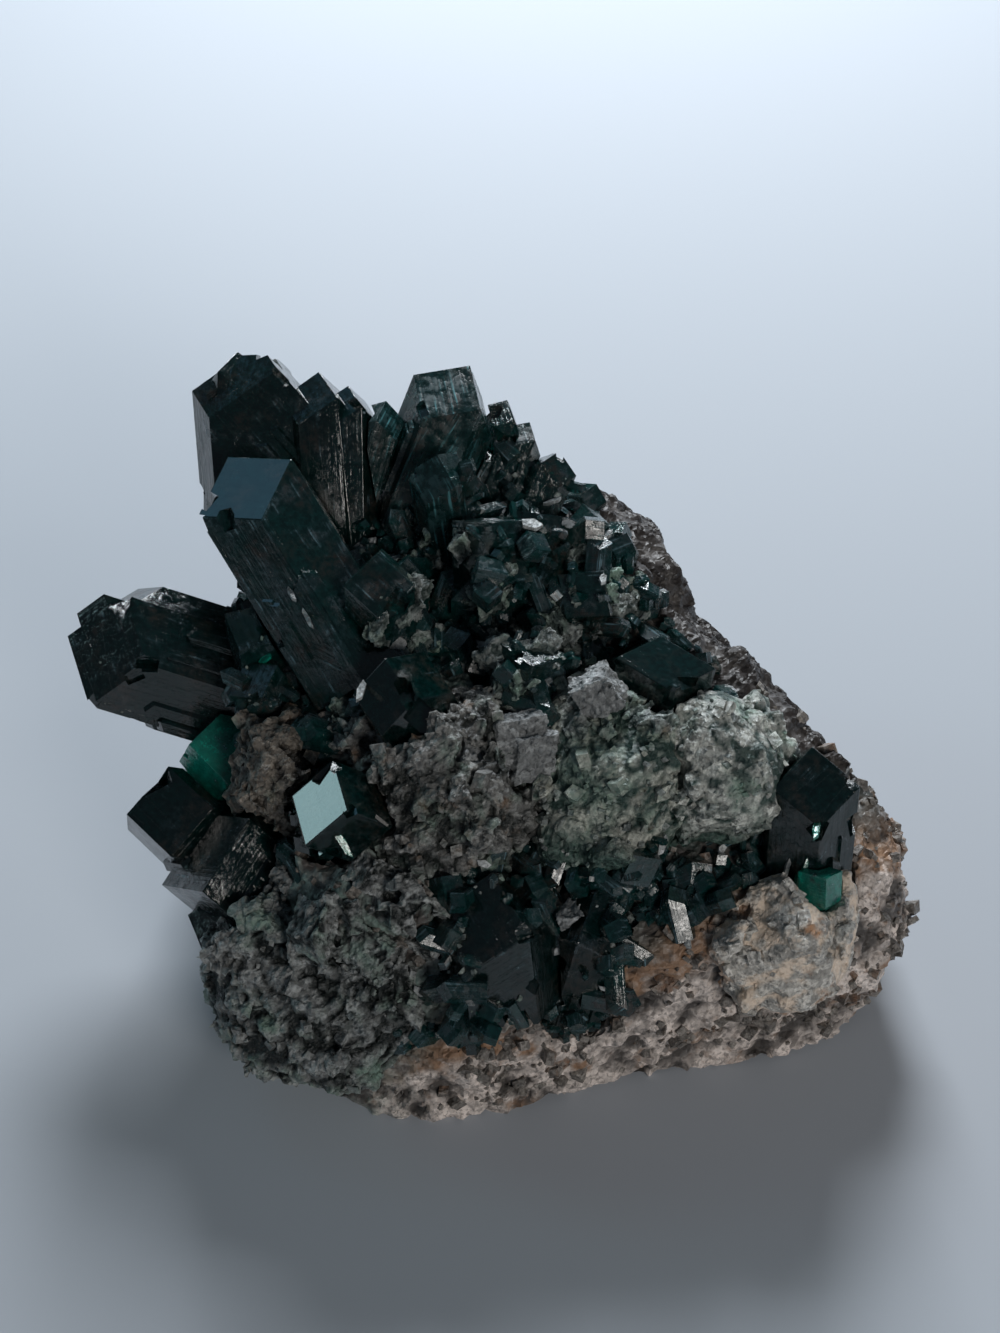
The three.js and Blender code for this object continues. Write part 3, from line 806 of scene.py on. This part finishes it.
class SPECIMEN_OT_calcite_blocks(bpy.types.Operator):
    """Wear the edges of the single calcite crystals"""

    bl_idname = "specimen.calcite_blocks"
    bl_label = "Calcite rhombs and plates"

    def execute(self, context):
        settings = context.scene.specimen_calcite
        # dark is the colour painted as shade in the pits of the blocks
        pale, dark, stain = (0.5, 0.52, 0.52), (0.2, 0.21, 0.21), (0.2, 0.2, 0.2)
        grey = calcite_material("grey calcite", pale, dark, stain, 0.8, 0.8)
        for node in BLOCK_NODES:
            block = copy_of(node, node.replace("calcite_", "single_"))
            chip_edges(block, 5, (0.2 * MM, 0.5 * MM), random.Random(len(node)), shortest=1 * MM)
            rebuild_skin(block, settings.voxel * 0.5)
            roughen(block, ("CLOUDS", 1.4, 0.6 * MM), ("BILLOWS", 0.8, 0.3 * MM))
            coat(block, grey)
            seated(block, "calcite", node)
        return {"FINISHED"}


EMERALD_PIECES = ("crystal_emerald", "crystal_small_emerald")
GLOSSY_PIECES = ("crystal_mirror", "crystal_window", "crystal_dark_centre", "crystal_ridge")
DUSTY_PIECES = ("crystals_summit",)
DARK_PIECES = (
    "crystal_right_end",
    "crystals_crown",
    "crystals_front_centre",
    "crystals_front_left",
    "crystals_front_right",
    "crystals_left_wing",
)
WINDOW_FACING = Vector((-0.386, -0.148, 0.911))  # the way the clear end face looks


def chip_edges(piece, count, sizes, rng, shortest=2 * MM):
    """Breaks small pieces off the edges of a crystal."""
    mesh = piece.data
    ends = [[mesh.vertices[i].co.copy() for i in edge.vertices] for edge in mesh.edges]
    ends = [pair for pair in ends if (pair[1] - pair[0]).length > shortest]
    spots = [a.lerp(b, rng.random()) for a, b in rng.choices(ends, k=count)]
    for spot in spots:
        bpy.ops.object.select_all(action="DESELECT")
        bpy.ops.mesh.primitive_cube_add(size=2 * rng.uniform(*sizes), location=spot)
        bite = bpy.context.object
        bite.rotation_euler = [rng.uniform(0, math.tau) for _ in range(3)]
        bite.scale = [rng.uniform(0.4, 1.2) for _ in range(3)]
        bpy.ops.object.transform_apply(location=True, rotation=True, scale=True)
        finish_with(piece, "BOOLEAN", operation="DIFFERENCE", object=bite, solver="MANIFOLD")
        drop(bite)


def grow_companions(piece, count, rng):
    """Joins small parallel prisms onto the sides of a crystal."""
    mesh = piece.data
    sides = []
    for polygon in mesh.polygons:
        corners = [mesh.vertices[i].co.copy() for i in polygon.vertices]
        edges = [b - a for a, b in zip(corners, corners[1:] + corners[:1])]
        longest = max(edges, key=lambda edge: edge.length)
        if polygon.area > 6 * MM**2 and longest.length > 5 * MM and polygon.normal.dot(OUTWARDS) > -0.2:
            sides.append((polygon.area, polygon.center.copy(), polygon.normal.copy(), longest))
    if not sides:
        return
    for i in range(count):
        _, centre, normal, longest = rng.choices(sides, weights=[side[0] for side in sides])[0]
        axis = longest.normalized()
        if axis.dot(OUTWARDS) < 0:
            axis.negate()
        width = rng.uniform(0.5, 1.5) * MM
        length = longest.length
        tip = centre + axis * length * rng.uniform(-0.1, 0.4) - normal * width * rng.uniform(0.2, 0.4)
        prism = dioptase_prism("companion", width, 0.6 * length, 0)
        across = normal.cross(axis)
        turned = Quaternion(axis, math.radians(30)) @ normal
        rows = Matrix((turned.cross(axis), turned, axis)).transposed()
        prism.matrix_world = Matrix.Translation(tip + across * rng.uniform(-1.2, 1.2) * MM) @ rows.to_4x4()
        only(prism)
        bpy.ops.object.transform_apply(location=True, rotation=True, scale=True)
        finish_with(piece, "BOOLEAN", operation="UNION", object=prism, solver="MANIFOLD")
        drop(prism)


class SPECIMEN_OT_crystals(bpy.types.Operator):
    """Finish the large dioptase crystals, with small prisms grown beside them"""

    bl_idname = "specimen.crystals"
    bl_label = "Large dioptase crystals"

    def execute(self, context):
        settings = context.scene.specimen_dioptase
        green, emerald, dust = (tuple(c) for c in (settings.green, settings.emerald, settings.dust))
        lost = settings.absorption
        clean = dioptase_material("dioptase clean", green, dust, 0.58, 0.1, lost)
        dusty = dioptase_material("dioptase dusty", green, (0.03, 0.1, 0.11), 0.5, 0.14, lost)
        black = scaled(green, 0.5)
        glossy = dioptase_material("dioptase glossy", black, dust, 0.7, 0.05, lost, relief=0.12)
        dark = dioptase_material("dioptase dark", black, scaled(dust, 0.7), 0.62, 0.08, lost)
        bright = dioptase_material("dioptase emerald", emerald, dust, 0.64, 0.08, lost * 0.4)
        groups = {EMERALD_PIECES: bright, DUSTY_PIECES: dusty, DARK_PIECES: dark, GLOSSY_PIECES: glossy}
        looks = {node: look for nodes, look in groups.items() for node in nodes}
        for seed, node in enumerate(CRYSTAL_NODES, start=100):
            piece = copy_of(node, node.replace("crystal", "dioptase"))
            rng = random.Random(seed)
            finish_with(piece, "BEVEL", width=settings.bevel, segments=2, limit_method="ANGLE")
            chip_edges(piece, settings.chips, (0.3 * MM, 0.9 * MM), rng)
            grow_companions(piece, settings.companions, rng)
            map_faces(piece)
            coat(piece, looks.get(node, clean))
            if node == "crystal_window":
                piece.data.materials.append(clean)
                for polygon in piece.data.polygons:
                    polygon.material_index = int(polygon.normal.dot(WINDOW_FACING) < 0.95)
            seated(piece, "dioptase", node)
        return {"FINISHED"}


def finish_lumps(piece, look):
    """Melts scattered rhombs together into uneven lumps of calcite."""
    rebuild_skin(piece, 0.15 * MM)
    roughen(piece, ("CLOUDS", 1.0, 0.5 * MM), ("BILLOWS", 0.7, 0.4 * MM))
    coat(piece, look)
    seated(piece, "calcite")


class SPECIMEN_OT_druse(bpy.types.Operator):
    """Cover the slope between the large crystals with small green crystals and calcite grains"""

    bl_idname = "specimen.druse"
    bl_label = "Druse"

    def execute(self, context):
        settings = context.scene.specimen_dioptase
        rock = bpy.data.objects["host_rock"]
        covered = skin_of(solids(CRYSTAL_NODES + BLOCK_NODES + CRUST_NODES))
        points = points_of(rock)
        bare = open_air(rock, covered, 0.5 * MM) * (points[:, 2] > 1.2 * MM)
        across, uphill, outwards = on_slope(points).T
        facing = normals_of(rock) @ np.array(OUTWARDS)
        above = (uphill > EDGE_RISE * across + EDGE_FOOT) & (uphill + RIDGE_FALL * across < RIDGE)
        on_top = (outwards > 2) & (facing > 0.3) & above
        in_front = zone(across, uphill, -15.5, -3.5, -20.5, -12.5)
        seeds = green_seeds()
        set_values(rock, "share", bare * on_top * ~in_front)
        tiers = (  # name, density, smallest, largest, lean
            ("small", 1.1, 0.5, 1.4, 0.8),
            ("middling", 0.35, 1.2, 2.2, 0.8),
            ("large", 0.1, 2.0, 3.0, 0.6),
        )
        grown = [
            scatter(rock, f"druse {name}", seeds, density, (low * MM, high * MM), lean, seed)
            for seed, (name, density, low, high, lean) in enumerate(tiers, start=5)
        ]
        druse = join(grown, "druse")
        map_faces(druse)
        green, dust = tuple(settings.green), tuple(settings.dust)
        look = dioptase_material("dioptase druse", scaled(green, 1.7), dust, 0.52, 0.12, settings.absorption)
        coat(druse, look)
        seated(druse, "dioptase")
        clear_collection(seeds)

        grains = calcite_grains()
        clusters = zone(across, uphill, -12, 10, -5, 7.5)
        set_values(rock, "share", bare * on_top * clusters)
        # the second colour is painted as shade in the pits of the lumps
        look = calcite_material("lumps", (0.46, 0.5, 0.48), (0.05, 0.07, 0.065), (0.2, 0.15, 0.1), 0.7, 0.56)
        finish_lumps(scatter(rock, "lumps", grains, 0.45, (1.0 * MM, 2.4 * MM), math.pi, 21), look)
        set_values(rock, "share", bare * on_top * in_front)
        more_crust = scatter(rock, "crust_edge", grains, 0.55, (1.5 * MM, 3.1 * MM), math.pi, 22)
        finish_lumps(more_crust, bpy.data.materials["crust_front_left"])

        lower_half = np.clip((9 - uphill) / 8, 0.1, 1)
        fresh = np.clip((patchy(points, 3) - 0.35) * 4, 0, 1) * np.clip((2 - points[:, 1] / MM) / 8, 0, 1)
        set_values(rock, "share", bare * (0.25 * on_top * lower_half + 0.9 * (~on_top) * fresh))
        sugar = scatter(rock, "sugar", grains, 1.6, (0.25 * MM, 1.0 * MM), math.pi, 6)
        # dark is the colour painted as shade in the pits of the sugar
        pale, dark, stain = (0.42, 0.38, 0.34), (0.08, 0.07, 0.06), (0.25, 0.13, 0.07)
        look = calcite_material("sugar", pale, dark, stain, 0.62, 0.75)
        coat(sugar, look)
        seated(sugar, "calcite")
        clear_collection(grains)
        return {"FINISHED"}


class SPECIMEN_OT_overgrowth(bpy.types.Operator):
    """Let small green crystals and calcite specks grow over the feet of the large crystals"""

    bl_idname = "specimen.overgrowth"
    bl_label = "Overgrowth"

    def execute(self, context):
        bare = GLOSSY_PIECES + EMERALD_PIECES + ("crystals_front_left", "crystal_right_end")
        names = [node.replace("crystal", "dioptase") for node in sorted(set(CRYSTAL_NODES) - set(bare))]
        low_crusts = ("crust_green", "crust_right")
        copies = [duplicate(bpy.data.objects[name], "ground") for name in [*names, *low_crusts]]
        ground = join(copies, "ground")
        rebuild_skin(ground, 0.3 * MM)
        others = skin_of([bpy.data.objects["host_rock"]] + crusts())
        points = points_of(ground)
        near = np.array([others.find_nearest(Vector(point), 6 * MM)[3] or 6 * MM for point in points]) / MM
        facing = normals_of(ground) @ np.array(OUTWARDS)
        reach = 1.6 + 4.5 * np.clip(patchy(points, 3.5) - 0.3, 0, 1)
        feet = np.clip((reach - near) / 1.2, 0, 1) * (facing > -0.4)
        specks = np.clip((facing - 0.2) * 1.5, 0, 1) * (0.01 + 0.99 * feet)
        across, uphill, _ = on_slope(points).T
        tangled = zone(across, uphill, -2.5, 12, 1, 13) & (facing > 0.2)
        feet = np.maximum(feet, 0.75 * tangled)
        crust_skin = skin_of([bpy.data.objects[name] for name in low_crusts])
        on_crust = [crust_skin.find_nearest(Vector(p), 0.4 * MM)[0] is not None for p in points]
        feet = np.where(on_crust, np.clip((-10 - uphill) / 1.5, 0, 0.8), feet)
        clusters = zone(across, uphill, -9, 11, -4, 8.5) & (facing > 0) & (near < 5)

        seeds = green_seeds()
        set_values(ground, "share", feet)
        sprigs = scatter(ground, "sprigs", seeds, 0.75, (0.5 * MM, 1.9 * MM), 0.9, 31)
        map_faces(sprigs)
        coat(sprigs, bpy.data.materials["dioptase druse"])
        seated(sprigs, "dioptase")
        clear_collection(seeds)

        grains = calcite_grains()
        set_values(ground, "share", clusters)
        knobs = scatter(ground, "knobs", grains, 0.36, (0.9 * MM, 2.3 * MM), math.pi, 23)
        finish_lumps(knobs, bpy.data.materials["lumps"])
        set_values(ground, "share", specks)
        dots = scatter(ground, "specks", grains, 1.4, (0.12 * MM, 0.5 * MM), math.pi, 33)
        coat(dots, bpy.data.materials["lumps"])
        seated(dots, "calcite")
        clear_collection(grains)
        drop(ground)
        return {"FINISHED"}


LAMPS = {  # azimuth from straight behind, towards the right, and elevation, in degrees
    "key": (3, 38),
    "sky left": (-49, 47),
    "low glint": (-76, 16),
    "fill": (150, 26),
}


def direction(angles):
    """The way to a lamp."""
    azimuth, elevation = (math.radians(angle) for angle in angles)
    flat = math.cos(elevation)
    return Vector((math.sin(azimuth) * flat, math.cos(azimuth) * flat, math.sin(elevation)))


def flake_on(ground, across, uphill, length, width, turn):
    """A flat flake that rests on the ground and mirrors the first lamp it sees towards the camera."""
    above = SLOPE_MIDDLE + (ACROSS * across + UPHILL * uphill + OUTWARDS * 50) * MM
    landed = ground.ray_cast(above, -OUTWARDS)[0]
    if landed is None:
        raise RuntimeError(f"no ground under the flake at {across}, {uphill}")
    start = landed + OUTWARDS * MM
    lit = [way for way in map(direction, LAMPS.values()) if ground.ray_cast(start, way)[0] is None]
    bpy.ops.object.select_all(action="DESELECT")
    bpy.ops.mesh.primitive_cylinder_add(vertices=5, radius=0.5, depth=1)
    flake = bpy.context.object
    flake.scale = (length * MM, width * MM, 0.25 * MM)
    bpy.ops.object.transform_apply(location=False, rotation=False, scale=True)
    normal = ((lit[0] if lit else UPHILL) + OUTWARDS).normalized()
    heading = ACROSS * math.cos(math.radians(turn)) + UPHILL * math.sin(math.radians(turn))
    heading = (heading - OUTWARDS * heading.dot(normal) / OUTWARDS.dot(normal)).normalized()
    side = normal.cross(heading)
    rows = Matrix((heading, side, normal)).transposed()
    reach = (length * abs(heading.dot(OUTWARDS)) + width * abs(side.dot(OUTWARDS))) * 0.4 * MM
    flake.matrix_world = Matrix.Translation(landed + OUTWARDS * reach) @ rows.to_4x4()
    only(flake)
    bpy.ops.object.transform_apply(location=True, rotation=True, scale=True)
    return flake


SHARDS = (
    # bright flakes of calcite: across, uphill, length and width in mm, and turn in degrees
    (1, 11, 2.5, 0.5, 10),
    (3.5, 11, 1.5, 0.3, 20),
    (2, 9, 1.5, 1, -15),
    (-9, 8, 2, 1, 25),
    (6.5, 5.5, 1, 0.5, 80),
    (-13, 4.5, 1.5, 0.3, -55),
    (-12, 3, 2, 0.3, -60),
    (-6.5, 1.5, 1.5, 1, 0),
    (-1, 1.5, 1.5, 1, 0),
    (10, 2, 1, 0.5, -10),
    (-8.5, -1.5, 2, 0.5, 75),
    (15, -1.5, 1, 0.5, -30),
    (1, -6.5, 2.5, 0.3, -45),
    (10, -11, 1.5, 0.5, 70),
    (14, -11.5, 1, 0.5, 60),
    (-1, -12, 1, 0.5, -20),
    (-3.5, -12.5, 1, 0.5, 60),
    (18, -12.5, 2, 0.3, 75),
    (12.5, -13.5, 1.5, 0.5, 10),
    (-3.5, -16.5, 2, 0.3, 60),
    (11.5, -17, 1, 0.5, -60),
    (3.5, -17.5, 1, 0.5, 10),
    (-5, -20, 1, 0.5, -45),
    (-2, -20, 1.5, 0.5, -45),
    (6.5, -20, 1, 0.3, -25),
)


GREEN_PAINTED_GLINTS = (
    # the same for dioptase: emerald flakes painted as teal glints of light inside the crystals
    (-6.5, 7.5, 1, 0.5, 30),
    (1.5, 3, 1, 0.5, -40),
    (-15, 0.5, 1, 0.5, 40),
    (19.5, -10, 2, 0.5, 70),
    (-9.5, -10.5, 2.5, 0.5, -60),
    (19, -12.5, 3, 0.3, 75),
    (8, -14, 2, 0.5, -30),
    (-1, -21, 1, 0.5, 20),
    (-2.5, -22, 1.5, 1, -35),
)


class SPECIMEN_OT_shards(bpy.types.Operator):
    """Set single flakes of calcite and dioptase on the slope, each turned so that it glints; the emerald
    dioptase flakes are painted teal glints
    """

    bl_idname = "specimen.shards"
    bl_label = "Bright flakes"

    def execute(self, context):
        crystals = [bpy.data.objects[node.replace("crystal", "dioptase")] for node in CRYSTAL_NODES]
        ground = skin_of([bpy.data.objects["host_rock"], *crusts(), *crystals])
        flakes = join([flake_on(ground, *shard) for shard in SHARDS], "flakes")
        set_values(flakes, "height", [1] * len(flakes.data.vertices))
        coat(flakes, calcite_material("flakes", (0.8, 0.84, 0.84), (0.4,) * 3, (0.6,) * 3, 0.9, 0.9))
        seated(flakes, "calcite")
        # painted glints: emerald flakes that stand in for teal light inside the crystals
        flakes = join([flake_on(ground, *shard) for shard in GREEN_PAINTED_GLINTS], "green_flakes")
        map_faces(flakes)
        coat(flakes, bpy.data.materials["dioptase emerald"])
        seated(flakes, "dioptase")
        return {"FINISHED"}


class SPECIMEN_OT_stage(bpy.types.Operator):
    """Lay the floor, light the specimen softly from behind and set the camera"""

    bl_idname = "specimen.stage"
    bl_label = "Stage"

    def execute(self, context):
        settings = context.scene.specimen_stage
        scene = context.scene
        bpy.ops.object.select_all(action="DESELECT")
        bpy.ops.mesh.primitive_plane_add(size=40)
        floor = context.object
        floor.name = "floor"
        matt = {"Base Color": (*settings.floor, 1), "Roughness": 0.9}
        coat(floor, new_material("floor", matt)[0])

        world = bpy.data.worlds.new("studio")
        scene.world = world
        world.use_nodes = True
        background = world.node_tree.nodes["Background"]
        background.inputs["Color"].default_value = (*settings.sky, 1)
        background.inputs["Strength"].default_value = 0.075

        def softbox(name, distance, size, power, colour):
            bpy.ops.object.select_all(action="DESELECT")
            bpy.ops.object.light_add(type="AREA")
            light = context.object
            light.name = name
            way = direction(LAMPS[name])
            light.location = SLOPE_MIDDLE + way * distance
            light.rotation_mode = "QUATERNION"
            light.rotation_quaternion = (-way).to_track_quat("-Z", "Y")
            light.data.shape = "RECTANGLE"
            light.data.size, light.data.size_y = size
            light.data.energy = power
            light.data.color = colour

        softbox("key", 0.3, (0.11, 0.1), 1.2, (0.9, 0.95, 1))
        softbox("sky left", 0.5, (0.13, 0.13), 0.039, (0.3, 0.68, 1))
        softbox("fill", 0.5, (0.16, 0.14), 0.76, (1, 0.96, 0.92))
        softbox("low glint", 0.5, (0.12, 0.12), 0.2, (0.6, 0.95, 1))

        bpy.ops.object.select_all(action="DESELECT")
        bpy.ops.object.camera_add()
        camera = context.object
        camera.location = SLOPE_MIDDLE + OUTWARDS * settings.distance
        camera.rotation_euler = (SLOPE_ANGLE, 0, 0)
        camera.data.lens = 50
        camera.data.sensor_width = 36
        camera.data.clip_start = 5 * MM
        scene.camera = camera
        scene.view_settings.view_transform = "Standard"
        return {"FINISHED"}


OPERATORS = (
    SPECIMEN_OT_host_rock,
    SPECIMEN_OT_crusts,
    SPECIMEN_OT_calcite_blocks,
    SPECIMEN_OT_crystals,
    SPECIMEN_OT_druse,
    SPECIMEN_OT_overgrowth,
    SPECIMEN_OT_shards,
    SPECIMEN_OT_stage,
)


class SPECIMEN_PT_panel(bpy.types.Panel):
    """Lists the operators that dress the specimen"""

    bl_label = "Specimen"
    bl_idname = "SPECIMEN_PT_panel"
    bl_space_type = "VIEW_3D"
    bl_region_type = "UI"
    bl_category = "Specimen"

    def draw(self, context):
        for operator in OPERATORS:
            self.layout.operator(operator.bl_idname)


def register():
    for group in SETTINGS.values():
        bpy.utils.register_class(group)
    for operator in OPERATORS:
        bpy.utils.register_class(operator)
    bpy.utils.register_class(SPECIMEN_PT_panel)
    for name, group in SETTINGS.items():
        setattr(bpy.types.Scene, name, PointerProperty(type=group))


def unregister():
    for name in SETTINGS:
        delattr(bpy.types.Scene, name)
    bpy.utils.unregister_class(SPECIMEN_PT_panel)
    for operator in reversed(OPERATORS):
        bpy.utils.unregister_class(operator)
    for group in reversed(list(SETTINGS.values())):
        bpy.utils.unregister_class(group)


def main():
    register()
    bpy.ops.specimen.host_rock()
    bpy.ops.specimen.crusts()
    bpy.ops.specimen.calcite_blocks()
    bpy.ops.specimen.crystals()
    bpy.ops.specimen.druse()
    bpy.ops.specimen.overgrowth()
    bpy.ops.specimen.shards()
    bpy.ops.specimen.stage()


if __name__ == "__main__":
    main()
